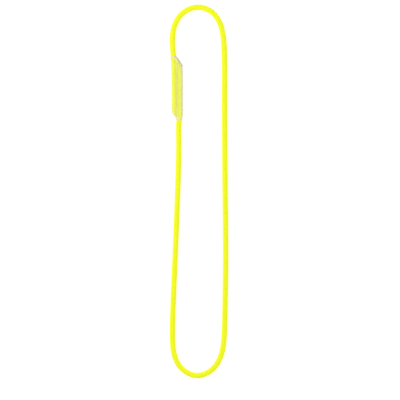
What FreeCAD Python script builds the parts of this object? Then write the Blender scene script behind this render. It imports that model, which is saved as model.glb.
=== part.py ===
import FreeCAD, Part
import math
import os
import Sketcher
from FreeCAD import Placement, Rotation, Vector

# A sewn cord sling: one kernmantle cord in a long loop, its two ends side by side, sewn to each other
# and covered by a clear heat-shrunk sleeve. It lies flat on its resting surface, z = 0, with its long
# axis along Y and its middle at the origin. Lengths are in millimetres.

# Driving dimensions, each a named cell of the document's sheet.
DIMENSIONS = [
    ("cord_diameter", 8.0),
    ("sheath_bore", 6.4),
    ("strand_diameter", 1.5),
    ("inner_ring", 0.9),
    ("outer_ring", 2.37),
    ("bevel_radius", 3.95),
    ("tip_length", 16.5),
    ("film_wall", 0.5),
    ("film_clearance", 0.1),
    ("slot_datum", -44.0),
    ("thread_diameter", 0.6),
    ("stitch_half_width", 2.6),
    ("stitch_pitch", 2.8),
    ("stitch_depth", 3.65),
    ("leg_spacing", 0.7),
    ("seam_start", 127.4),
]
STITCH_COUNT = 20
INNER_STRANDS = 3
OUTER_STRANDS = 9

# The cord's route (x, y, z of its middle line), from end A, up the sleeve's left half, round the upper
# bight, down the right limb, round the lower bight, up the left limb and up the sleeve's right half to
# end B. In the sleeve the cord lies higher, by the film under it: its height there is a little less than
# the film's outer radius, which the resting surface presses flat.
ROUTE = [
    (-37.0, 124.0, 4.55),
    (-37.0, 155.0, 4.55),
    (-37.2, 185.0, 4.55),
    (-39.0, 209.0, 4.55),
    (-40.6, 232.0, 4.15),
    (-36.8, 252.8, 4.0),
    (-24.8, 270.4, 4.0),
    (-3.0, 279.4, 4.0),
    (18.8, 272.6, 4.0),
    (32.0, 255.4, 4.0),
    (37.4, 231.0, 4.0),
    (38.8, 195.0, 4.0),
    (38.4, 122.0, 4.0),
    (39.2, 15.0, 4.0),
    (40.5, -92.0, 4.0),
    (39.3, -174.0, 4.0),
    (38.4, -222.0, 4.0),
    (33.4, -250.6, 4.0),
    (19.6, -270.8, 4.0),
    (-3.0, -279.8, 4.0),
    (-26.0, -269.4, 4.0),
    (-37.6, -249.4, 4.0),
    (-40.4, -222.0, 4.0),
    (-39.1, -170.0, 4.0),
    (-35.6, -92.0, 4.0),
    (-31.6, 10.0, 4.0),
    (-30.2, 60.0, 4.0),
    (-30.5, 85.0, 4.4),
    (-30.6, 98.5, 4.55),
    (-29.85, 106.0, 4.55),
    (-28.82, 113.5, 4.55),
    (-28.84, 128.0, 4.55),
    (-28.95, 156.0, 4.55),
    (-28.95, 184.0, 4.55),
]
ARC_SHARE = 0.45  # how much of the shorter run each bend's arc takes, either side of its point

# Slot-shaped cross-sections: height along Y, and the x of the middles of the left and right round sides.
# The clear sleeve's two middles meet at its collars, where it grips a single cord. Two slots bevel each
# melted end of the cord: wide where the end starts, closing on a slant towards its tip.
SLOTS = {
    "film": [
        (106.0, -29.9, -29.76),
        (108.5, -30.45, -29.44),
        (113.0, -33.0, -28.93),
        (116.0, -34.7, -28.78),
        (120.4, -37.0, -28.78),
        (130.0, -37.0, -28.8),
        (174.0, -37.13, -28.92),
        (187.4, -37.46, -28.95),
        (196.0, -38.02, -33.9),
        (204.0, -38.72, -38.52),
    ],
    "bevel_a": [(113.0, -29.1, -28.9), (124.5, -40.6, -33.0)],
    "bevel_b": [(183.5, -32.9, -27.2), (200.5, -37.0, -36.9)],
}

doc = FreeCAD.newDocument("cord_sling")


def make_sheet():
    """The driving dimensions as named cells."""
    sheet = doc.addObject("Spreadsheet::Sheet", "sizes")
    rows = list(DIMENSIONS)
    for end, point in (("start", ROUTE[0]), ("finish", ROUTE[-1])):
        rows += [(f"{end}_{letter}", value) for letter, value in zip("xyz", point)]
    for name, slots in SLOTS.items():
        for number, slot in enumerate(slots):
            keys = [f"{name}_{what}_{number}" for what in ("height", "left", "right")]
            rows += zip(keys, slot)
    for row, (alias, value) in enumerate(rows, start=1):
        sheet.set(f"A{row}", alias)
        sheet.set(f"B{row}", str(value))
        sheet.setAlias(f"B{row}", alias)
    doc.recompute()
    return sheet


sizes = make_sheet()


def bend_arc(before, corner, after):
    """The tangent arc at one point of a route: where it starts, its middle, where it ends, its radius."""
    run_in, run_out = corner - before, after - corner
    reach = ARC_SHARE * min(run_in.Length, run_out.Length)
    turn = run_in.getAngle(run_out)
    radius = reach / math.tan(turn / 2)
    back, onward = run_in.normalize() * -1, run_out.normalize()
    inward = (back + onward).normalize()
    middle = corner + inward * (radius / math.cos(turn / 2) - radius)
    return corner + back * reach, middle, corner + onward * reach, radius


def make_route():
    """Straight runs joined by tangent arcs, as one wire, with the arcs' radii printed."""
    points = [Vector(*point) for point in ROUTE]
    edges, radii, here = [], [], points[0]
    for before, corner, after in zip(points, points[1:], points[2:]):
        start, middle, end, radius = bend_arc(before, corner, after)
        edges.append(Part.LineSegment(here, start).toShape())
        edges.append(Part.Arc(start, middle, end).toShape())
        radii.append(round(radius, 1))
        here = end
    edges.append(Part.LineSegment(here, points[-1]).toShape())
    route = doc.addObject("Part::Feature", "route")
    route.Shape = Part.Wire(edges)
    print("bend radii, mm:", radii)
    print("middle line, mm:", round(route.Shape.Length, 1))
    return route


def circle_across(name, diameter, across="0", up="0"):
    """A circle square to Y at the route's start, moved across and up from the middle line."""
    circle = doc.addObject("Part::Circle", name)
    circle.Placement = Placement(Vector(), Rotation(Vector(0, 0, 1), Vector(0, 1, 0)))
    circle.setExpression("Radius", f"{diameter} / 2")
    circle.setExpression("Placement.Base.x", f"sizes.start_x + {across}")
    circle.setExpression("Placement.Base.y", "sizes.start_y")
    circle.setExpression("Placement.Base.z", f"sizes.start_z + {up}")
    return circle


def sweep_along(name, path, circle, transition="Transformed"):
    """A solid rod of the circle's section, along the whole of a path."""
    rod = doc.addObject("Part::Sweep", name)
    rod.Sections = [circle]
    rod.Spine = (path, [])
    rod.Solid = True
    rod.Frenet = False
    rod.Transition = transition
    return rod


def make_sheath(route):
    """The braided mantle: a tube along the whole route, with the kern's room inside."""
    outside = sweep_along("sheath_outside", route, circle_across("sheath_rim", "sizes.cord_diameter"))
    inside = sweep_along("sheath_inside", route, circle_across("bore_rim", "sizes.sheath_bore"))
    sheath = doc.addObject("Part::Cut", "sheath")
    sheath.Base = outside
    sheath.Tool = inside
    return sheath


def make_strand_ring(route, name, ring, count, first_angle):
    """Core strands evenly spaced on one ring round the cord's middle line."""
    strands = []
    for number in range(count):
        angle = first_angle + 360 / count * number
        across, up = (f"sizes.{ring} * {trig}({angle} deg)" for trig in ("cos", "sin"))
        label = f"{name}_{number + 1}"
        circle = circle_across(f"{label}_rim", "sizes.strand_diameter", across, up)
        strands.append(sweep_along(label, route, circle))
    return strands


def slot_sketch(body, plane, name, number, radius):
    """One cross-section: two equal round sides joined by straight tangents."""
    key = f"{name}_{{}}_{number}"
    left, right = (x - sizes.slot_datum for x in SLOTS[name][number][1:])
    sketch = body.newObject("Sketcher::SketchObject", f"{name}_slot_{number}")
    sketch.AttachmentSupport = (plane, [""])
    sketch.MapMode = "FlatFace"
    sketch.setExpression("AttachmentOffset.Base.z", f"-sizes.{key.format('height')}")
    first_radius = sizes.cord_diameter / 2
    ends = Vector(left, 0, 0), Vector(right, 0, 0)
    turns = (math.pi / 2, 3 * math.pi / 2), (-math.pi / 2, math.pi / 2)
    for centre, (first, last) in zip(ends, turns):
        circle = Part.Circle(centre, Vector(0, 0, 1), first_radius)
        sketch.addGeometry(Part.ArcOfCircle(circle, first, last), False)
    for side in (1, -1):
        shift = Vector(0, side * first_radius, 0)
        sketch.addGeometry(Part.LineSegment(ends[0] + shift, ends[1] + shift), False)
    joins = [(0, 1, 2, 1), (1, 2, 2, 2), (0, 2, 3, 1), (1, 1, 3, 2)]
    for join in joins:
        sketch.addConstraint(Sketcher.Constraint("Tangent", *join))
    sketch.addConstraint(Sketcher.Constraint("Equal", 0, 1))
    for arc in (0, 1):
        sketch.addConstraint(Sketcher.Constraint("PointOnObject", arc, 3, -1))
    bound = {
        "side": (("Radius", 0, first_radius), radius),
        "left": (("DistanceX", -1, 1, 0, 3, left), f"sizes.{key.format('left')} - sizes.slot_datum"),
        "right": (("DistanceX", -1, 1, 1, 3, right), f"sizes.{key.format('right')} - sizes.slot_datum"),
    }
    for constraint_name, (constraint, expression) in bound.items():
        index = sketch.addConstraint(Sketcher.Constraint(*constraint))
        sketch.renameConstraint(index, constraint_name)
        sketch.setExpression(f"Constraints.{constraint_name}", expression)
    return sketch


def slot_body(label, name, end, lofts):
    """A body of ruled lofts through one family of slots, at the height of one of the cord's ends."""
    body = doc.addObject("PartDesign::Body", label)
    plane = next(f for f in body.Origin.OriginFeatures if f.Role == "XZ_Plane")
    for kind, radius in lofts:
        slots = [slot_sketch(body, plane, name, number, radius) for number in range(len(SLOTS[name]))]
        loft = body.newObject(f"PartDesign::{kind}", f"{name}_{kind}")
        loft.Profile = slots[0]
        loft.Sections = slots[1:]
        loft.Ruled = True
        doc.recompute()
    body.setExpression("Placement.Base.x", "sizes.slot_datum")
    body.setExpression("Placement.Base.z", f"sizes.{end}_z")
    return body


def make_sealed_end(letter, end, outward):
    """The cord's hot-cut and melted end: a round stub, bevelled on a slant so that it is longest next to the
    other strand. outward is its direction along Y, +1 or -1."""
    stub = doc.addObject("Part::Cylinder", f"stub_{letter}")
    stub.Placement.Rotation = Rotation(Vector(0, 0, 1), Vector(0, outward, 0))
    stub.setExpression("Radius", "sizes.cord_diameter / 2")
    stub.setExpression("Height", "sizes.tip_length")
    for axis in "xyz":
        stub.setExpression(f"Placement.Base.{axis}", f"sizes.{end}_{axis}")
    sealed = doc.addObject("Part::Common", f"sealed_end_{letter}")
    sealed.Base = stub
    bevel = [("AdditiveLoft", "sizes.bevel_radius")]
    sealed.Tool = slot_body(f"bevel_{letter}", f"bevel_{letter}", end, bevel)
    return sealed


def make_clear_sleeve():
    """The shrunk film: a ruled skin over both cords, with a slanting shoulder down to one at each end."""
    inside = "sizes.cord_diameter / 2 + sizes.film_clearance"
    walls = [("AdditiveLoft", f"{inside} + sizes.film_wall"), ("SubtractiveLoft", inside)]
    return press_flat(slot_body("shrunk_film", "film", "start", walls))


def press_flat(film):
    """The sleeve's underside is flat where it lies on the resting surface: nothing is left below z = 0."""
    below = doc.addObject("Part::Box", "resting_surface")
    last = len(SLOTS["film"]) - 1
    bound = {
        "Length": "3 * sizes.cord_diameter",
        "Width": f"sizes.film_height_{last} - sizes.film_height_0 + 2 * sizes.cord_diameter",
        "Height": "sizes.film_wall",
        "Placement.Base.x": "sizes.slot_datum",
        "Placement.Base.y": "sizes.film_height_0 - sizes.cord_diameter",
        "Placement.Base.z": "-sizes.film_wall",
    }
    for size, expression in bound.items():
        below.setExpression(size, expression)
    sleeve = doc.addObject("Part::Cut", "clear_sleeve")
    sleeve.Base = film
    sleeve.Tool = below
    return sleeve


def make_thread(name, face):
    """One thread of the zigzag lockstitch: runs across on its own face of the cords (+1 upper, -1 lower),
    and a pair of legs at each needle hole down to the interlock at the cords' mid height."""
    middle_x = (sizes.start_x + sizes.finish_x) / 2
    surface = sizes.start_z + face * sizes.stitch_depth
    interlock = sizes.start_z + face * sizes.thread_diameter / 2
    points = []
    for number in range(STITCH_COUNT):
        side = 1 if number % 2 else -1
        x = middle_x + side * sizes.stitch_half_width
        y = sizes.seam_start + number * sizes.stitch_pitch
        for leg, levels in ((-0.5, (surface, interlock)), (0.5, (interlock, surface))):
            points += [Vector(x, y + leg * sizes.leg_spacing, z) for z in levels]
    path = doc.addObject("Part::Feature", f"{name}_path")
    path.Shape = Part.makePolygon(points)
    circle = doc.addObject("Part::Circle", f"{name}_section")
    circle.Placement = Placement(points[0], Rotation())
    circle.setExpression("Radius", "sizes.thread_diameter / 2")
    return sweep_along(name, path, circle, "Right corner")


route = make_route()
nodes = [make_sheath(route)]
nodes += make_strand_ring(route, "core_strand_inner", "inner_ring", INNER_STRANDS, 0)
nodes += make_strand_ring(route, "core_strand_outer", "outer_ring", OUTER_STRANDS, 20)
nodes.append(make_sealed_end("a", "start", -1))
nodes.append(make_sealed_end("b", "finish", 1))
nodes.append(make_thread("needle_thread", 1))
nodes.append(make_thread("bobbin_thread", -1))
nodes.append(make_clear_sleeve())
doc.recompute()

for thing in doc.Objects:
    if {"Invalid", "Error"} & set(thing.State):
        raise RuntimeError(f"{thing.Label} did not recompute: {thing.State}")
for node in nodes:
    if node.Shape.isNull() or not node.Shape.isValid():
        raise RuntimeError(f"{node.Label} has no valid shape")

ring_area = math.pi / 4 * (sizes.cord_diameter**2 - sizes.sheath_bore**2)
fullness = nodes[0].Shape.Volume / (ring_area * route.Shape.Length)
print("sheath volume over section times length:", round(fullness, 4))

os.makedirs("parts", exist_ok=True)
for node in nodes:
    node.Shape.exportStep(f"parts/{node.Label}.step")
    print(node.Label, "solids:", len(node.Shape.Solids), "volume, mm3:", round(node.Shape.Volume, 1))
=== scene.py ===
import math

import bpy
import numpy as np
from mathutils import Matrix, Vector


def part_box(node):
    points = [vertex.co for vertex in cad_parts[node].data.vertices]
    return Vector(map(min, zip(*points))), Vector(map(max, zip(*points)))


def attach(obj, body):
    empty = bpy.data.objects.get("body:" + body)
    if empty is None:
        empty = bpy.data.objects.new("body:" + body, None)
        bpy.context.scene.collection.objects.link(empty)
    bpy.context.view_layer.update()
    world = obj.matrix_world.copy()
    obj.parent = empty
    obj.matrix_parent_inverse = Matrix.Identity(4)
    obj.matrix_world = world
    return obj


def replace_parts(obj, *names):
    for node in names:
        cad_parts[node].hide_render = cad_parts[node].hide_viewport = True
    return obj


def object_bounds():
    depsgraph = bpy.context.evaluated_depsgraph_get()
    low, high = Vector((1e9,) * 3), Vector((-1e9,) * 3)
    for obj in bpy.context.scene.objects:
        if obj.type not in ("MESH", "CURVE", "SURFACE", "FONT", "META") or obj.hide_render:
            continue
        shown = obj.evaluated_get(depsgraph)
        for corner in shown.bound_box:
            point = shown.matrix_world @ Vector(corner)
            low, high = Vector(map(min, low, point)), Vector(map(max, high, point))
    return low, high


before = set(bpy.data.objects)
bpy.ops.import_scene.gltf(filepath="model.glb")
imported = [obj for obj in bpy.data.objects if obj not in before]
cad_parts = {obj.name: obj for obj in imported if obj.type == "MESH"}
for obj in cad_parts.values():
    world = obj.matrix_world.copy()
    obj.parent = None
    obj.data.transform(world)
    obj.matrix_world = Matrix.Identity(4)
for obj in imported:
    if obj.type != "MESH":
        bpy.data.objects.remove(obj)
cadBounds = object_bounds()
print("frame loaded:", len(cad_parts), "nodes")

mm = 0.001
rng = np.random.default_rng(8)


# helpers

def toLinear(hexColour):
    # an sRGB hex colour as the linear red, green, blue, alpha that shaders take
    shares = [int(hexColour[i:i + 2], 16) / 255 for i in (1, 3, 5)]
    return [s / 12.92 if s <= 0.04045 else ((s + 0.055) / 1.055) ** 2.4 for s in shares] + [1.0]


def addNode(tree, kind, settings=(), inputs=()):
    # one shader node with its settings and its inputs: a socket is linked, anything else is a fixed value
    node = tree.nodes.new(kind)
    for name, value in dict(settings).items():
        setattr(node, name, value)
    for name, value in dict(inputs).items():
        if isinstance(value, bpy.types.NodeSocket):
            tree.links.new(value, node.inputs[name])
        else:
            node.inputs[name].default_value = value
    return node


def newMaterial(name):
    # an empty node material: its tree and its output node
    material = bpy.data.materials.new(name)
    material.use_nodes = True
    material.node_tree.nodes.clear()
    return material, material.node_tree, addNode(material.node_tree, "ShaderNodeOutputMaterial")


def setRamp(node, stops):
    # a colour ramp's stops, as (position, hex colour) pairs
    ramp = node.color_ramp
    while len(ramp.elements) < len(stops):
        ramp.elements.new(0.5)
    for element, (position, colour) in zip(ramp.elements, stops):
        element.position = position
        element.color = toLinear(colour)


def addPiece(name, points, faces, material, uv=None, attributes=()):
    # one mesh piece from arrays: points (n, 3), four-cornered faces (m, 4), one uv pair per face corner
    mesh = bpy.data.meshes.new(name)
    mesh.vertices.add(len(points))
    mesh.vertices.foreach_set("co", points.astype(np.float32).ravel())
    mesh.loops.add(faces.size)
    mesh.loops.foreach_set("vertex_index", faces.astype(np.int32).ravel())
    mesh.polygons.add(len(faces))
    mesh.polygons.foreach_set("loop_start", np.arange(0, faces.size, 4, dtype=np.int32))
    mesh.update(calc_edges=True)
    mesh.polygons.foreach_set("use_smooth", np.ones(len(faces), bool))
    if uv is not None:
        layer = mesh.uv_layers.new(name="along")
        layer.data.foreach_set("uv", uv.astype(np.float32).ravel())
    for key, values in dict(attributes).items():
        mesh.attributes.new(key, "FLOAT", "POINT").data.foreach_set("value", values.astype(np.float32))
    mesh.validate()
    piece = bpy.data.objects.new(name, mesh)
    bpy.context.scene.collection.objects.link(piece)
    mesh.materials.append(material)
    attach(piece, "root")
    return piece


def countTriangles(pieces):
    # how many triangles these pieces' four-cornered faces make
    return sum(len(piece.data.polygons) for piece in pieces) * 2


def ringFaces(rows, columns):
    # faces of a closed tube of rows x columns points, as each corner's (row, column), with both ends capped.
    # The caps are whole for an even number of columns; an odd one leaves a single small triangle open.
    row, column = np.meshgrid(np.arange(rows - 1), np.arange(columns), indexing="ij")
    corners = np.stack([
        np.stack([row, column], -1), np.stack([row, column + 1], -1),
        np.stack([row + 1, column + 1], -1), np.stack([row + 1, column], -1)], -2).reshape(-1, 4, 2)
    fan = np.arange(columns // 2 - 1)
    cap = np.stack([columns - 1 - fan, columns - 2 - fan, fan + 1, fan], -1)
    caps = np.concatenate([
        np.stack([np.zeros_like(cap), cap], -1),
        np.stack([np.full_like(cap, rows - 1), cap[:, ::-1]], -1)])
    return np.concatenate([corners, caps])


def tubes(sections, lengths):
    # several closed tubes in one mesh. sections is (tubes, rows, columns, 3); lengths is each row's distance
    # along, and gives the uv map's v in millimetres, while u runs 0 to 1 round the section
    count, rows, columns, _ = sections.shape
    corners = ringFaces(rows, columns)
    index = corners[..., 0] * columns + corners[..., 1] % columns
    faces = np.concatenate([index + rows * columns * tube for tube in range(count)])
    uv = np.stack([corners[..., 1] / columns, lengths[corners[..., 0]] / mm], -1)
    return sections.reshape(-1, 3), faces, np.tile(uv, (count, 1, 1))


def directions(line):
    # unit vectors along each of the lines in an array (..., points, 3)
    along = np.gradient(line, axis=-2)
    return along / np.linalg.norm(along, axis=-1, keepdims=True)


def carry(line, outward, section):
    # a profile (columns, 2) of (across, outwards) carried along a line that has an outward direction
    along = directions(line)
    across = np.cross(outward, along)
    across /= np.linalg.norm(across, axis=-1, keepdims=True)
    lift = np.cross(along, across)
    return (line[..., None, :] + across[..., None, :] * section[:, 0, None]
            + lift[..., None, :] * section[:, 1, None])


def smoothStep(values, start, end):
    # 0 before start, 1 after end, and a smooth S between
    share = np.clip((values - start) / (end - start), 0, 1)
    return share * share * (3 - 2 * share)


# camera and light

studio = {
    "pictureWidth": 0.603,       # metres of floor across the picture
    "aim": (0.0015, -0.013),     # the picture's middle from the sling's middle
    "cameraHeight": 6.0,         # a long lens from far off, so that nothing leans
    "sensor": 36.0,
    "skyStrength": 0.76,
    "keyPower": 16.5,
    "fillPower": 6.0,
    "tableGlow": 0.3,            # the board is lit a little from below, so that shadows stay faint
}


def makeStudio():
    # a camera straight above, a white room, and two large soft lamps from above left and right
    low, high = cadBounds
    middle = [(a + b) / 2 for a, b in zip(low, high)]
    lens = bpy.data.cameras.new("camera")
    lens.sensor_width = studio["sensor"]
    lens.lens = studio["sensor"] * studio["cameraHeight"] / studio["pictureWidth"]
    lens.clip_end = 60
    camera = bpy.data.objects.new("camera", lens)
    camera.location = (middle[0] + studio["aim"][0], middle[1] + studio["aim"][1], studio["cameraHeight"])
    bpy.context.scene.collection.objects.link(camera)
    bpy.context.scene.camera = camera
    bpy.context.scene.view_settings.view_transform = "Standard"

    world = bpy.data.worlds.new("whiteRoom")
    bpy.context.scene.world = world
    world.use_nodes = True
    world.node_tree.nodes.clear()
    sky = addNode(world.node_tree, "ShaderNodeBackground",
                  inputs={"Color": (1, 1, 1, 1), "Strength": studio["skyStrength"]})
    addNode(world.node_tree, "ShaderNodeOutputWorld", inputs={"Surface": sky.outputs[0]})

    for name, place, size, power in (
            ("keyLamp", (-1.1, 0.7, 1.5), 1.2, studio["keyPower"]),
            ("fillLamp", (1.4, -0.6, 1.3), 1.4, studio["fillPower"])):
        lamp = bpy.data.lights.new(name, "AREA")
        lamp.size = size
        lamp.energy = power
        holder = bpy.data.objects.new(name, lamp)
        holder.location = place
        reach = math.hypot(place[0], place[1])
        holder.rotation_euler = (math.atan2(reach, place[2]), 0, math.atan2(-place[0], place[1]) + math.pi)
        holder.visible_camera = False
        bpy.context.scene.collection.objects.link(holder)


def makeFloor():
    # a plain pale board, wide enough to fill every view
    material, tree, output = newMaterial("paleBoard")
    shader = addNode(tree, "ShaderNodeBsdfPrincipled", inputs={
        "Base Color": toLinear("#FBFBFB"), "Roughness": 0.9, "Specular IOR Level": 0.1,
        "Emission Color": (1, 1, 1, 1), "Emission Strength": studio["tableGlow"]})
    tree.links.new(shader.outputs[0], output.inputs["Surface"])
    mesh = bpy.data.meshes.new("floor")
    half = 6.0
    corners = [(-half, -half, 0), (half, -half, 0), (half, half, 0), (-half, half, 0)]
    mesh.from_pydata(corners, [], [(0, 1, 2, 3)])
    mesh.materials.append(material)
    floor = bpy.data.objects.new("floor", mesh)
    bpy.context.scene.collection.objects.link(floor)


makeStudio()
makeFloor()
print("camera, lamps and floor made")


# the cord's route

cord = {
    "diameter": 8.0,
    "length": 1267.2,            # to the middle of its two slanting ends
    "lift": 0.19,                # the middle line is this much higher, because the braid's crests stand proud
    "curveSteps": 48,            # points read from the curve for each point of the route
}
# the middle line, from end A up the sleeve's left half, round both bights, and up the sleeve's right half
# to end B, in metres
route = [
    (-0.03675, 0.124, 0.00455), (-0.03675, 0.155, 0.00455), (-0.037, 0.185, 0.00455),
    (-0.039, 0.209, 0.00455), (-0.0406, 0.232, 0.00415), (-0.0368, 0.2528, 0.004),
    (-0.0248, 0.2704, 0.004), (-0.003, 0.2794, 0.004),
    (0.0188, 0.2726, 0.004), (0.032, 0.2554, 0.004), (0.0374, 0.231, 0.004), (0.0388, 0.195, 0.004),
    (0.0384, 0.122, 0.004), (0.0392, 0.015, 0.004), (0.0405, -0.092, 0.004), (0.0393, -0.174, 0.004),
    (0.0384, -0.222, 0.004), (0.0334, -0.2506, 0.004), (0.0196, -0.2708, 0.004), (-0.003, -0.2798, 0.004),
    (-0.026, -0.2694, 0.004), (-0.0376, -0.2494, 0.004), (-0.0404, -0.222, 0.004), (-0.0391, -0.17, 0.004),
    (-0.0356, -0.092, 0.004), (-0.0316, 0.01, 0.004), (-0.0302, 0.06, 0.004), (-0.0305, 0.085, 0.0044),
    (-0.0306, 0.0985, 0.00455), (-0.03, 0.106, 0.00455), (-0.0291, 0.1135, 0.00455),
    (-0.0291, 0.128, 0.00455),
    (-0.02925, 0.156, 0.00455), (-0.02925, 0.184, 0.00455),
]


def readCurve(points, steps):
    # the points along a smooth open curve that has these control points, in metres
    curve = bpy.data.curves.new("line", "CURVE")
    curve.dimensions = "3D"
    spline = curve.splines.new("NURBS")
    spline.points.add(len(points) - 1)
    for point, place in zip(spline.points, points):
        point.co = (*place, 1)
    spline.order_u = 3
    spline.use_endpoint_u = True
    curve.resolution_u = steps
    spline.resolution_u = steps
    holder = bpy.data.objects.new("line", curve)
    bpy.context.scene.collection.objects.link(holder)
    mesh = bpy.data.meshes.new_from_object(holder.evaluated_get(bpy.context.evaluated_depsgraph_get()))
    line = np.zeros(len(mesh.vertices) * 3)
    mesh.vertices.foreach_get("co", line)
    bpy.data.objects.remove(holder)
    bpy.data.curves.remove(curve)
    bpy.data.meshes.remove(mesh)
    return line.reshape(-1, 3)


def distances(line):
    # how far along a line each of its points is
    return np.concatenate([[0], np.cumsum(np.linalg.norm(np.diff(line, axis=0), axis=1))])


def placesAlong(line, wanted):
    # the points at these distances along a line
    return np.stack([np.interp(wanted, distances(line), line[:, axis]) for axis in range(3)], -1)


cordLine = readCurve(route, cord["curveSteps"]) + np.array([0, 0, cord["lift"] * mm])
cordLength = distances(cordLine)[-1]
print("cord's middle line:", round(cordLength / mm, 1), "mm in", len(cordLine), "points")


def cordFrame(wanted):
    # the cord's middle, its sideways direction and its upward direction at these distances along it
    middle = placesAlong(cordLine, wanted)
    along = directions(middle)
    side = np.cross(along, [0.0, 0.0, 1.0])
    side /= np.linalg.norm(side, axis=-1, keepdims=True)
    return middle, side, np.cross(side, along)


# braided sheath

sheath = {
    "carriersEachWay": 16,
    "pitch": 28.0,               # one turn of a carrier round the cord, mm
    "stationsPerPitch": 72,
    "yarnWidth": 1.30,
    "yarnThickness": 0.38,
    "meanRadius": 3.83,
    "crossingWave": 0.21,        # how far a yarn rises over and dips under the ones that it crosses
    "waveSquareness": 1.5,
    "carriersPerPiece": 4,
    "pressed": 0.075,            # how much the seam flattens the cord on the side where its two strands meet
    "pressedReach": (66.0, 76.0),    # mm from each end: wholly as far as the first, then fading
}


def flatOval(width, thickness, columns):
    # a yarn's flattened section: an ellipse of these sizes, its points evenly turned, a point at each edge
    turn = 2 * np.pi * np.arange(columns) / columns
    return np.stack([width / 2 * np.cos(turn), thickness / 2 * np.sin(turn)], -1)


def pressSideways(along, sideways):
    # sideways offsets drawn in towards the cord's middle on the side where the two strands meet: to the
    # right of the first strand and to the left of the last one
    whole, faded = (reach * mm for reach in sheath["pressedReach"])
    fromA = 1 - smoothStep(along, whole, faded)
    fromB = 1 - smoothStep(cordLength - along, whole, faded)
    return sideways - sheath["pressed"] * (np.maximum(sideways, 0) * fromA + np.minimum(sideways, 0) * fromB)


def braidYarns(hand, carriers):
    # Each yarn winds round the cord once a pitch, right-handed (+1) or left-handed (-1), at the mean radius
    # plus a squared-off cosine wave. The wave's period is four crossings, over two and under two, and its
    # phase steps by two crossings from carrier to carrier, so that the yarns of the two hands always rise
    # and dip opposite.
    count = sheath["carriersEachWay"]
    stations = int(cordLength / (sheath["pitch"] * mm) * sheath["stationsPerPitch"])
    along = np.linspace(0, cordLength, stations)
    middle, side, up = cordFrame(along)
    turns = along / (sheath["pitch"] * mm)
    crossings = 2 * count * turns
    number = np.array(carriers)[:, None]
    angle = 2 * np.pi * (number / count + hand * turns)
    phase = crossings + 2 * number - 0.5 if hand > 0 else crossings - 2 * number + 2.5
    squareness = sheath["waveSquareness"]
    wave = np.tanh(squareness * np.cos(np.pi / 2 * phase)) / np.tanh(squareness)
    radius = (sheath["meanRadius"] + sheath["crossingWave"] * wave) * mm
    outward = np.cos(angle)[..., None] * side + np.sin(angle)[..., None] * up
    sideways = pressSideways(along, radius * np.cos(angle))
    line = middle + sideways[..., None] * side + (radius * np.sin(angle))[..., None] * up
    return line, outward, along


def makeSheath(material):
    # the braid's yarns, in pieces of a few carriers each
    pieces = []
    section = flatOval(sheath["yarnWidth"] * mm, sheath["yarnThickness"] * mm, 6)
    share = sheath["carriersPerPiece"]
    for hand, word in ((1, "right"), (-1, "left")):
        for group in range(sheath["carriersEachWay"] // share):
            carriers = np.arange(share) + group * share
            line, outward, along = braidYarns(hand, carriers)
            points, faces, uv = tubes(carry(line, outward, section), along)
            tone = np.repeat(rng.uniform(0, 1, share), len(along) * len(section))
            pieces.append(addPiece(f"sheath_{word}_hand_yarns_{group + 1}", points, faces, material,
                                   uv, {"tone": tone}))
    return pieces


def fluorescentYarn():
    # dyed polyamide multifilament yarn, braided: a vivid, faintly streaked yellow with a soft sheen along
    # the filaments. The filaments are far finer than shows, so their streaks are drawn about 0.12 mm apart.
    material, tree, output = newMaterial("fluorescentPolyamideYarn")
    place = addNode(tree, "ShaderNodeUVMap", {"uv_map": "along"})
    streaks = addNode(tree, "ShaderNodeMapping", inputs={"Vector": place.outputs[0], "Scale": (22, 0.35, 1)})
    filaments = addNode(tree, "ShaderNodeTexNoise", inputs={
        "Vector": streaks.outputs[0], "Scale": 1.0, "Detail": 3.0, "Roughness": 0.6})
    shade = addNode(tree, "ShaderNodeValToRGB", inputs={"Fac": filaments.outputs[0]})
    setRamp(shade, [(0.25, "#E3EA12"), (0.7, "#F7FC1C")])
    bump = addNode(tree, "ShaderNodeBump", inputs={
        "Height": filaments.outputs[0], "Strength": 0.55, "Distance": 0.05 * mm})
    shader = addNode(tree, "ShaderNodeBsdfPrincipled", inputs={
        "Base Color": shade.outputs[0], "Roughness": 0.55, "IOR": 1.53, "Specular IOR Level": 0.2,
        "Sheen Weight": 0.15, "Sheen Roughness": 0.4, "Sheen Tint": toLinear("#F4F84A"),
        "Normal": bump.outputs[0]})
    tree.links.new(shader.outputs[0], output.inputs["Surface"])
    return material


yarnMaterial = fluorescentYarn()
sheathPieces = makeSheath(yarnMaterial)
for piece in sheathPieces:
    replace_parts(piece, "sheath")
print("sheath:", countTriangles(sheathPieces), "triangles in", len(sheathPieces), "pieces")


# steady frames and twisted strands

def steadyFrame(line):
    # two directions square to a line that don't spin about it: any pair square to the line, turned back by
    # the sum of the small angles through which that pair turns from point to point
    along = directions(line)
    first = np.cross(along, [0.6, -0.5, 0.62])
    first /= np.linalg.norm(first, axis=-1, keepdims=True)
    second = np.cross(along, first)
    carried = first[:-1] - (first[:-1] * along[1:]).sum(-1, keepdims=True) * along[1:]
    steps = np.arctan2((carried * second[1:]).sum(-1), (carried * first[1:]).sum(-1))
    angle = np.concatenate([[0], np.cumsum(steps)])[:, None]
    steady = np.cos(angle) * first + np.sin(angle) * second
    return steady, np.cross(along, steady)


def twistPlies(line, plies, ringRadius, pitch):
    # plies wound round a line: each turns once a pitch, evenly spaced, at the ring's radius
    first, second = steadyFrame(line)
    angle = 2 * np.pi * (distances(line) / pitch + np.arange(plies)[:, None] / plies)
    outward = np.cos(angle)[..., None] * first + np.sin(angle)[..., None] * second
    return line + outward * ringRadius, outward


def roundSection(diameter, columns):
    # a round profile, its points evenly turned
    return flatOval(diameter, diameter, columns)


# core strands

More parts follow.
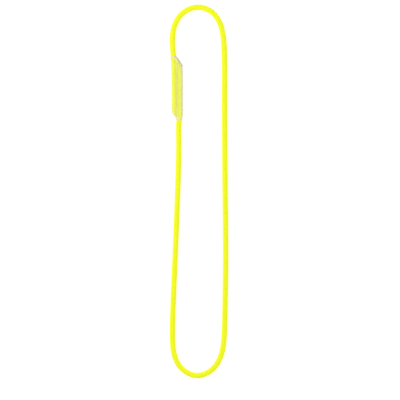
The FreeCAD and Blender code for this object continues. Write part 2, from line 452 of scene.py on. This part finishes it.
core = {
    "rings": {"inner": (3, 0.88, 0), "outer": (9, 2.26, 20)},   # strands, ring radius mm, first angle
    "plies": 3,
    "plyDiameter": 0.70,
    "strandDiameter": 1.46,
    "twistPitch": 12.0,
    "step": 1.2,                 # between stations along the cord, mm
}


def makeCoreStrands(material):
    # each strand of the kern keeps its own angle round the cord's middle line, and is three plies twisted
    # together
    pieces = []
    along = np.linspace(0, cordLength, int(cordLength / (core["step"] * mm)))
    middle, side, up = cordFrame(along)
    ply = core["plyDiameter"] * mm
    for ring, (count, radius, first) in core["rings"].items():
        for number in range(count):
            angle = math.radians(first + 360 / count * number)
            sideways = pressSideways(along, np.full(len(along), radius * math.cos(angle) * mm))
            line = middle + sideways[:, None] * side + radius * math.sin(angle) * mm * up
            plies, outward = twistPlies(line, core["plies"], (core["strandDiameter"] * mm - ply) / 2,
                                        core["twistPitch"] * mm)
            points, faces, uv = tubes(carry(plies, outward, flatOval(ply, ply, 5)), along)
            piece = addPiece(f"core_{ring}_plies_{number + 1}", points, faces, material, uv)
            pieces.append(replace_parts(piece, f"core_strand_{ring}_{number + 1}"))
    return pieces


def coreYarn():
    # undyed polyamide multifilament, twisted: clean white with a silky gloss along the filaments, which are
    # drawn about 0.1 mm apart
    material, tree, output = newMaterial("undyedPolyamideYarn")
    place = addNode(tree, "ShaderNodeUVMap", {"uv_map": "along"})
    streaks = addNode(tree, "ShaderNodeMapping", inputs={"Vector": place.outputs[0], "Scale": (20, 0.3, 1)})
    filaments = addNode(tree, "ShaderNodeTexNoise", inputs={
        "Vector": streaks.outputs[0], "Scale": 1.0, "Detail": 2.0, "Roughness": 0.6})
    shade = addNode(tree, "ShaderNodeValToRGB", inputs={"Fac": filaments.outputs[0]})
    setRamp(shade, [(0.25, "#E6E4DA"), (0.7, "#F6F5EF")])
    bump = addNode(tree, "ShaderNodeBump", inputs={
        "Height": filaments.outputs[0], "Strength": 0.5, "Distance": 0.05 * mm})
    shader = addNode(tree, "ShaderNodeBsdfPrincipled", inputs={
        "Base Color": shade.outputs[0], "Roughness": 0.42, "IOR": 1.53, "Specular IOR Level": 0.4,
        "Normal": bump.outputs[0]})
    tree.links.new(shader.outputs[0], output.inputs["Surface"])
    return material


corePieces = makeCoreStrands(coreYarn())
print("core strands:", countTriangles(corePieces), "triangles in", len(corePieces), "pieces")


# sewing threads

thread = {
    "stitches": 20,
    "diameter": 0.6,
    "legSpacing": 0.7,
    "plies": 3,
    "plyShare": 0.5,             # a ply's diameter as a share of the thread's
    "twistPitch": 2.4,
    "step": 0.2,                 # between stations along the thread, mm
    "proud": 0.1,                # how far a run stands off the cord in mid-run, and sinks in at its holes
}


def stitchRoute(node, face):
    # control points of one thread of the zigzag lockstitch, from the box of its CAD solid: across on its own
    # face (+1 upper, -1 lower), a little proud in mid-run, and down and up again through each needle hole
    low, high = (np.array(corner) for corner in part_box(node))
    radius = thread["diameter"] / 2 * mm
    leg = thread["legSpacing"] / 2 * mm
    proud = face * thread["proud"] * mm
    surface, lock = (high[2] - radius, low[2] + radius) if face > 0 else (low[2] + radius, high[2] - radius)
    heights = np.linspace(low[1] + radius + leg, high[1] - radius - leg, thread["stitches"])
    sides = [low[0] + radius, high[0] - radius]
    points = []
    for number, y in enumerate(heights):
        x = sides[number % 2]
        inward = (sides[1] - sides[0]) * (0.12 if number % 2 == 0 else -0.12)
        points += [(x + inward, y - 2 * leg, surface + proud), (x, y - leg, surface - proud),
                   (x, y - leg, lock + face * leg), (x, y, lock), (x, y + leg, lock + face * leg),
                   (x, y + leg, surface - proud), (x + inward, y + 2 * leg, surface + proud)]
    return points[1:-1]


def makeThread(name, node, face, material):
    # a hard-twisted sewing thread of a few plies along its stitch route
    line = readCurve(stitchRoute(node, face), 8)
    stations = int(distances(line)[-1] / (thread["step"] * mm))
    line = placesAlong(line, np.linspace(0, distances(line)[-1], stations))
    ply = thread["plyShare"] * thread["diameter"] * mm
    plies, outward = twistPlies(line, thread["plies"], (thread["diameter"] * mm - ply) / 2,
                                thread["twistPitch"] * mm)
    points, faces, uv = tubes(carry(plies, outward, roundSection(ply, 6)), distances(line))
    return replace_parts(addPiece(name, points, faces, material, uv), node)


def bondedThread():
    # bonded polyamide sewing thread, three plies twisted hard and coated: smooth, a little glossy, slightly
    # paler than the cord. The plies are real shapes, so only their filaments are drawn, about 0.08 mm apart.
    material, tree, output = newMaterial("bondedPolyamideThread")
    place = addNode(tree, "ShaderNodeUVMap", {"uv_map": "along"})
    streaks = addNode(tree, "ShaderNodeMapping", inputs={"Vector": place.outputs[0], "Scale": (9, 0.8, 1)})
    filaments = addNode(tree, "ShaderNodeTexNoise", inputs={
        "Vector": streaks.outputs[0], "Scale": 1.0, "Detail": 2.0, "Roughness": 0.5})
    shade = addNode(tree, "ShaderNodeValToRGB", inputs={"Fac": filaments.outputs[0]})
    setRamp(shade, [(0.3, "#E9EE3A"), (0.7, "#F6F95A")])
    bump = addNode(tree, "ShaderNodeBump", inputs={
        "Height": filaments.outputs[0], "Strength": 0.4, "Distance": 0.03 * mm})
    shader = addNode(tree, "ShaderNodeBsdfPrincipled", inputs={
        "Base Color": shade.outputs[0], "Roughness": 0.38, "IOR": 1.53, "Specular IOR Level": 0.4,
        "Normal": bump.outputs[0]})
    tree.links.new(shader.outputs[0], output.inputs["Surface"])
    return material


threadMaterial = bondedThread()
threadPieces = [makeThread("needle_thread_plies", "needle_thread", 1, threadMaterial),
                makeThread("bobbin_thread_plies", "bobbin_thread", -1, threadMaterial)]
print("threads:", countTriangles(threadPieces), "triangles")


# melted ends

seal = {
    "radius": 3.9,
    "intoYarns": 0.6,            # how far the melt has run back among the yarns
    "shortSide": {"a": 4.6, "b": 3.1},    # the bevel's length on the outer side, and next to the other strand
    "longSide": {"a": 14.0, "b": 16.8},
    "rimRounding": 0.5,
    "lip": 0.06,                 # how far the melted rim stands proud
    "lipAt": (0.93, 0.05),       # where it is along the side, and how wide, as shares
    "tapered": 0.06,             # the share of the side over which it swells from a point among the yarns
    "lump": 0.12,
    "sideLump": 0.25,            # how much of the lumps the side shows
    "sideRows": 26,
    "faceRows": 22,
    "columns": 72,
}


def makeSealedEnd(name, node, letter, outward, material):
    # A round stub cut on a slant and melted. Its end face, for a point at (across, lift) from the stub's
    # middle with across positive on the outer side, is at shortSide + (sqrt(radius^2 - lift^2) - across) *
    # slant. The rows walk along the side up to the rim, then over the face to its middle, with the rim
    # rounded and a few slow waves.
    low, high = (np.array(corner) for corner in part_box(node))
    root = cordLine[0] if outward < 0 else cordLine[-1]
    radius, into = seal["radius"], seal["intoYarns"]
    slant = (seal["longSide"][letter] - seal["shortSide"][letter]) / (2 * radius)
    turn = 2 * np.pi * np.arange(seal["columns"])[None, :] / seal["columns"]
    side = np.linspace(0, 1, seal["sideRows"])[:, None]
    face = np.linspace(1, 0.004, seal["faceRows"])[1:, None]
    share = np.concatenate([np.ones_like(side), face])
    climb = np.concatenate([side, np.ones_like(face)])
    waves, phases = np.array([2, 3, 5, 9]), rng.uniform(0, 2 * np.pi, 4)
    lumps = (np.sin(turn[..., None] * waves + phases) / waves).sum(-1) * seal["lump"]
    across, lift = share * radius * np.cos(turn), share * radius * np.sin(turn)
    height = seal["shortSide"][letter] + (np.sqrt(np.maximum(radius ** 2 - lift ** 2, 0)) - across) * slant
    height = height - seal["rimRounding"] * share ** 8 + 0.5 * lumps * np.sin(np.pi * share)
    run = -into + (height + into) * climb
    lipAt, lipWidth = seal["lipAt"]
    lip = seal["lip"] * np.exp(-((climb - lipAt) / lipWidth) ** 2) * (share > 0.999)
    grow = np.clip(climb / seal["tapered"], 0, 1) * (1 + (lumps * seal["sideLump"] + lip) / radius)
    x = root[0] + outward * across * grow * (1 - sheath["pressed"] * (across < 0)) * mm
    points = np.stack([x, root[1] + outward * run * mm, root[2] + lift * grow * mm], -1)
    points[..., 1] = np.clip(points[..., 1], low[1] - 1.5 * mm, high[1] + 1.5 * mm)
    if outward < 0:
        points = points[:, ::-1]
    points, faces, uv = tubes(points[None], np.arange(len(share)) * mm)
    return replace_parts(addPiece(name, points, faces, material, uv), node)


def meltedPolyamide():
    # polyamide yarn melted by a hot knife: hard, glassy and a little darker, with frozen flow lines and pits
    # about half a millimetre across
    material, tree, output = newMaterial("meltedPolyamide")
    place = addNode(tree, "ShaderNodeTexCoord")
    flow = addNode(tree, "ShaderNodeTexNoise", inputs={
        "Vector": place.outputs["Object"], "Scale": 1 / (0.9 * mm), "Detail": 4.0, "Distortion": 0.8})
    shade = addNode(tree, "ShaderNodeValToRGB", inputs={"Fac": flow.outputs[0]})
    setRamp(shade, [(0.35, "#DADF18"), (0.65, "#F2F61E")])
    gloss = addNode(tree, "ShaderNodeMapRange", inputs={
        "Value": flow.outputs[0], "To Min": 0.16, "To Max": 0.42})
    bump = addNode(tree, "ShaderNodeBump", inputs={
        "Height": flow.outputs[0], "Strength": 0.6, "Distance": 0.12 * mm})
    shader = addNode(tree, "ShaderNodeBsdfPrincipled", inputs={
        "Base Color": shade.outputs[0], "Roughness": gloss.outputs[0], "IOR": 1.53,
        "Normal": bump.outputs[0]})
    tree.links.new(shader.outputs[0], output.inputs["Surface"])
    return material


meltMaterial = meltedPolyamide()
sealPieces = [makeSealedEnd("melted_end_a", "sealed_end_a", "a", -1, meltMaterial),
              makeSealedEnd("melted_end_b", "sealed_end_b", "b", 1, meltMaterial)]
print("melted ends made")


# clear sleeve

film = {
    "innerRadius": 4.21,
    "wall": 0.26,
    "lowTrim": 1.2,              # how much shorter it is than its CAD solid at the lower collar, mm
    "rows": 200,
    "columns": 112,
    "span": (90.0, 215.0),       # the stretch along Y whose two strands it follows, mm
    "blend": 1.6,                # how softly one stretch of the outline turns into the next, mm
    "leftStandOff": 0.1,         # the sides' middles from the strands' own
    "rightStandOff": 0.6,
    "lowCollar": 1.9,            # the stretch that grips a single cord, below and above
    "highCollar": 0.9,
    "shoulderStart": (4.5, 4.5),    # how far past the cord's own end each slanting shoulder starts, mm
    "crease": (0.40, 0.45),      # the flattened edge that the tube had before it was shrunk, left and right
    "valleySag": 0.30,           # how far the film dips between the two cords
    "webSquash": 0.12,           # how much flatter the slanting shoulders are
    "clearHaze": 0.025,          # cover of one wall where it lies on the yarns
    "gapHaze": 0.52,             # and what each millimetre of gap under it adds
    "mostHaze": 0.58,
    "collarHaze": 0.32,
    "collarReach": 4.0,
    "creaseShadeWidth": 0.42,           # the painted grey shade's width about the creased edge, as a share of the side's radius
    "creaseShade": (0.55, 0.8, 1.4),   # how strongly the painted grey shade shows: the left side, the lower shoulder, the upper shoulder
}


def strandSideways(heights, part):
    # the x of one of the cord's two strands in the sleeve at these heights, straight on past the strand's
    # end
    first, last = (end * mm for end in film["span"])
    part = part[(part[:, 0] < 0) & (part[:, 1] > first) & (part[:, 1] < last)]
    order = np.argsort(part[:, 1])
    return np.interp(heights, part[order, 1], part[order, 0])


def shoulderSpans():
    # where the two slanting shoulders lie along Y, each from its collar to past its own strand's end
    low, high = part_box("clear_sleeve")
    start, finish = (share * mm for share in film["shoulderStart"])
    return ((low[1] + (film["lowTrim"] + film["lowCollar"]) * mm, cordLine[0, 1] - start),
            (cordLine[-1, 1] + finish, high[1] - film["highCollar"] * mm))


def sleeveOutline():
    # the x of the middles of the sleeve's left and right round sides along Y. Each follows its own strand of
    # the cord, and past that strand's end runs on a slant to the other strand, to a collar; corners softly
    # blended.
    low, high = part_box("clear_sleeve")
    (lowCollar, lowShoulder), (highShoulder, highCollar) = shoulderSpans()
    stations = np.linspace(low[1] + film["lowTrim"] * mm, high[1], film["rows"])
    spread = np.linspace(-1, 1, 25) * film["blend"] * mm
    weights = np.cos(spread / spread[-1] * np.pi / 2)[:, None] ** 2
    near = stations + spread[:, None]
    half = len(cordLine) // 2
    leftStrand, rightStrand = strandSideways(near, cordLine[:half]), strandSideways(near, cordLine[half:])
    downTo = np.clip((near - lowCollar) / (lowShoulder - lowCollar), 0, 1)
    upTo = np.clip((highCollar - near) / (highCollar - highShoulder), 0, 1)
    loose = np.clip((near - lowCollar) / (6 * mm), 0, 1) * upTo
    left = rightStrand + (leftStrand + film["leftStandOff"] * mm - rightStrand) * downTo
    right = leftStrand + (rightStrand - leftStrand) * upTo + film["rightStandOff"] * mm * loose
    left, right = ((line * weights).sum(0) / weights.sum() for line in (left, right))
    return stations, left, np.maximum(right, left + 0.02 * mm)


def slotPoints(left, right, radius, columns):
    # a slot's outline, two half circles joined by straight tangents, walked in even steps of its own length,
    # and for each step how far it is from the slot's middle (0) to its left or right side's (-1 or 1)
    half = ((right - left) / 2)[:, None]
    quarter = np.pi * radius / 2
    walk = (4 * quarter + 4 * half) * np.arange(columns) / columns
    angle = (np.clip(walk, 0, quarter) + np.clip(walk - quarter - 2 * half, 0, 2 * quarter)
             + np.clip(walk - 3 * quarter - 4 * half, 0, quarter)) / radius
    middle = half - np.clip(walk - quarter, 0, 2 * half) + np.clip(walk - 3 * quarter - 2 * half, 0, 2 * half)
    x = ((left + right) / 2)[:, None] + middle + radius * np.cos(angle)
    return x, radius * np.sin(angle), middle / half, angle


def creaseShadeShare(stations, angle):
    # how strongly the painted grey shade along the tube's old crease shows, where the film is seen edge-on: a
    # narrow bell about each side's outermost line, on the left side and the lower shoulder's left, and on the
    # upper shoulder's right
    (lowCollar, lowShoulder), (highShoulder, highCollar) = shoulderSpans()
    side, lower, upper = film["creaseShade"]
    onLow = smoothStep(-stations, -lowShoulder, -lowShoulder + 2 * mm)
    onLow = onLow * smoothStep(stations, lowCollar, lowCollar + 2 * mm)
    onHigh = smoothStep(stations, highShoulder - 1 * mm, highShoulder + 1 * mm)
    onHigh = onHigh * smoothStep(-stations, -highCollar, -highCollar + 2 * mm)
    weights = np.where(np.cos(angle) > 0, upper * onHigh[:, None], side + (lower - side) * onLow[:, None])
    return weights * np.exp(-(np.sin(angle) / film["creaseShadeWidth"]) ** 2)


def wallPoints(stations, left, right, radius):
    # one wall of the sleeve: slots along Y, the top dipping between the cords, the slanting shoulders
    # flattened towards their free edge, and the underside flat on what the sleeve lies on
    x, lift, share, angle = slotPoints(left, right, radius, film["columns"])
    half = ((right - left) / 2)[:, None]
    dip = film["valleySag"] * mm * np.clip(half / (3 * mm), 0, 1) * (1 - np.clip(share ** 2, 0, 1))
    lift = lift - dip * (lift > 0) * (lift / radius)
    (_, low), (high, _) = shoulderSpans()
    upper = smoothStep(stations, high - 1 * mm, high + 6 * mm)[:, None]
    lower = smoothStep(-stations, -low - 1 * mm, -low + 6 * mm)[:, None]
    towardsRight = smoothStep(x, left[:, None] + 1.5 * mm, left[:, None] + 7 * mm)
    towardsLeft = smoothStep(-x, -right[:, None] + 1.5 * mm, -right[:, None] + 7 * mm)
    lift = lift * (1 - film["webSquash"] * (upper * towardsRight + lower * towardsLeft))
    creases = np.array(film["crease"])[(np.cos(angle) > 0).astype(int)] * mm
    x = x + np.sign(np.cos(angle)) * creases * np.exp(-(np.sin(angle) / 0.22) ** 2)
    z = np.maximum(cordLine[0, 2] + lift, (film["innerRadius"] + film["wall"] - radius / mm) * mm)
    return np.stack([x, np.broadcast_to(stations[:, None], x.shape), z], -1)


def nearest(points, line):
    # how far each of an array of points is from the nearest point of a line
    return np.sqrt(((points[..., None, :] - line) ** 2).sum(-1)).min(-1)


def endGap(points, letter, outward):
    # how far points stand off a melted end: off its round stub or off its slanting bevel, whichever is more
    root = cordLine[0] if outward < 0 else cordLine[-1]
    short, long = seal["shortSide"][letter], seal["longSide"][letter]
    run = np.linspace(0, long, 15)[:, None]
    lean = np.maximum(run - short, 0) * 2 * seal["radius"] / (long - short)
    lean = lean + np.linspace(0, seal["radius"], 4)
    run = np.broadcast_to(run, lean.shape)
    bevel = root + np.stack([-outward * lean, outward * run, 0 * run], -1).reshape(-1, 3) * mm
    stub = root + np.stack([0 * run, outward * run, 0 * run], -1)[:, 0] * mm
    return np.maximum(nearest(points, bevel), nearest(points, stub)) - seal["radius"] * mm


def closeRing(rows, columns):
    # faces of a grid that closes on itself both round and along
    row, column = np.meshgrid(np.arange(rows), np.arange(columns), indexing="ij")
    corners = [(row, column), (row + 1, column), (row + 1, column + 1), (row, column + 1)]
    return np.stack([r % rows * columns + c % columns for r, c in corners], -1).reshape(-1, 4)


def makeSleeve(material):
    # the film as one closed skin: the outer wall one way along, the inner wall back, joined at both collars
    stations, left, right = sleeveOutline()
    inner = film["innerRadius"] * mm
    outer = wallPoints(stations, left, right, inner + film["wall"] * mm)
    points = np.concatenate([outer, wallPoints(stations, left, right, inner)[::-1]])
    near = cordLine[(cordLine[:, 0] < 0) & (cordLine[:, 1] > stations[0] - 9 * mm)
                    & (cordLine[:, 1] < stations[-1] + 9 * mm)]
    gap = nearest(outer, near[::2]) - cord["diameter"] / 2 * mm
    gap = np.minimum(gap, np.minimum(endGap(outer, "a", -1), endGap(outer, "b", 1)))
    haze = np.minimum(film["clearHaze"] + film["gapHaze"] * np.maximum(gap / mm - 0.5, 0), film["mostHaze"])
    fromEnd = np.minimum(stations - stations[0], stations[-1] - stations)[:, None]
    collar = 1 - smoothStep(fromEnd, 0.4 * film["collarReach"] * mm, film["collarReach"] * mm)
    haze = haze + (film["collarHaze"] - haze) * collar
    inside = 1 - smoothStep(np.abs(outer[..., 0] - (left + right)[:, None] / 2) - (right - left)[:, None] / 2,
                            0.5 * mm, 2.5 * mm)
    # lit marks where pale yellow light from the yarns is painted into the film's colour, where it stands off
    # them
    shares = {"haze": haze, "collar": collar + 0 * haze, "lit": smoothStep(gap, 0.45 * mm, 1.1 * mm) * inside,
              # the painted grey shade along the crease, where the film is seen edge-on
              "creaseShade": creaseShadeShare(stations, slotPoints(left, right, inner, film["columns"])[3])}
    faces = closeRing(len(points), film["columns"])
    shares = {key: np.concatenate([part, part[::-1]]).ravel() for key, part in shares.items()}
    piece = addPiece("clear_sleeve_film", points.reshape(-1, 3), faces, material,
                     attributes=shares)
    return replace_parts(piece, "clear_sleeve")


def clearFilm():
    # heat-shrunk polyolefin film: glossy and clear where it clings to the yarns, milky where it stands off
    # them and there painted pale yellow for the yarns' light, a warm white at the collars, with a painted
    # grey shade along its creased edges where it is seen edge-on, and with faint drawn ripples about 3 mm
    # apart
    material, tree, output = newMaterial("heatShrunkPolyolefin")
    place = addNode(tree, "ShaderNodeTexCoord")
    drawn = addNode(tree, "ShaderNodeMapping", inputs={
        "Vector": place.outputs["Object"], "Scale": (1, 0.3, 1)})
    ripples = addNode(tree, "ShaderNodeTexNoise", inputs={
        "Vector": drawn.outputs[0], "Scale": 1 / (3 * mm), "Detail": 2.0})
    bump = addNode(tree, "ShaderNodeBump", inputs={
        "Height": ripples.outputs[0], "Strength": 0.5, "Distance": 0.15 * mm})
    shares = {name: addNode(tree, "ShaderNodeAttribute", {"attribute_name": name}).outputs["Fac"]
              for name in ("haze", "collar", "lit", "creaseShade")}
    colour = addNode(tree, "ShaderNodeRGB")
    colour.outputs[0].default_value = toLinear("#F1EFE6")
    colour = colour.outputs[0]
    # the first tint is pale yellow light from the yarns, painted into the film's colour; the collars' warm
    # white is the film's own
    # the last tint is a painted grey shade along the creased edges, where the film is seen edge-on
    for name, tint in (("lit", "#FFFF86"), ("collar", "#FFECE4"), ("creaseShade", "#98966C")):
        mix = addNode(tree, "ShaderNodeMix", {"data_type": "RGBA"},
                      {0: shares[name], 6: colour, 7: toLinear(tint)})
        colour = mix.outputs[2]
    edge = addNode(tree, "ShaderNodeLayerWeight", inputs={"Blend": 0.28})
    rim = addNode(tree, "ShaderNodeMath", {"operation": "POWER"}, {0: edge.outputs["Facing"], 1: 2.0})
    cover = addNode(tree, "ShaderNodeMapRange", inputs={
        "Value": rim.outputs[0], "To Min": shares["haze"], "To Max": 0.75})
    # the painted grey shade along the crease also thickens the cover there
    coverWithCreaseShade = addNode(tree, "ShaderNodeMath", {"operation": "MULTIPLY_ADD", "use_clamp": True},
                     {0: shares["creaseShade"], 1: 0.40, 2: cover.outputs[0]})
    shader = addNode(tree, "ShaderNodeBsdfPrincipled", inputs={
        "Base Color": colour, "Roughness": 0.14, "IOR": 1.49, "Alpha": coverWithCreaseShade.outputs[0],
        "Normal": bump.outputs[0]})
    tree.links.new(shader.outputs[0], output.inputs["Surface"])
    return material


sleeve = makeSleeve(clearFilm())
print("clear sleeve:", countTriangles([sleeve]), "triangles")
